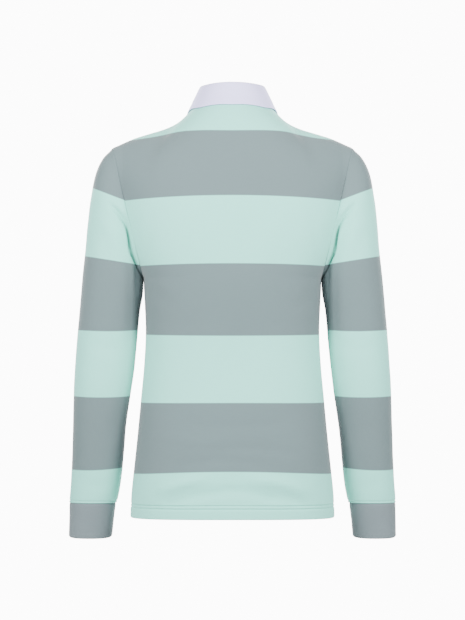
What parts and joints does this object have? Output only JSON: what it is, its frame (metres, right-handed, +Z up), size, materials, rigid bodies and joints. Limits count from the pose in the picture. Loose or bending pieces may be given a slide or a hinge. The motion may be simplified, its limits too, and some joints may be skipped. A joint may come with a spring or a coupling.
{
  "type": "rugby shirt",
  "caption": "Slim long-sleeved rugby shirt, filled out as if worn: broad cross stripes in mint and blue-grey, white fold-down collar, buttoned placket and close cuffs",
  "frame": {"origin": "the middle of the neck, level with the points where the shoulder seams reach the collar; the shirt hangs from the wearer's shoulders round it", "axes": "+X is the wearer's left, +Y the back, +Z up"},
  "size_m": [0.5612, 0.2418, 0.7724],
  "materials": {
    "stripe_jersey": "soft matt cotton jersey with broad yarn-dyed stripes in mint and blue-grey",
    "cuff_knit": "matt blue-grey knit with a fine upright rib",
    "collar_twill": "matt white cotton twill, faintly cool",
    "button": "satin off-white rubber, dished"
  },
  "bodies": {
    "root": {"back": "stripe_jersey", "front": "stripe_jersey", "sleeve_left": "stripe_jersey", "sleeve_right": "stripe_jersey", "cuff_left": "cuff_knit", "cuff_right": "cuff_knit", "collar_stand": "collar_twill", "collar_leaf": "collar_twill", "placket_upper": "collar_twill", "placket_under": "collar_twill", "button_1": "button", "button_2": "button", "button_3": "button"}
  },
  "joints": []
}
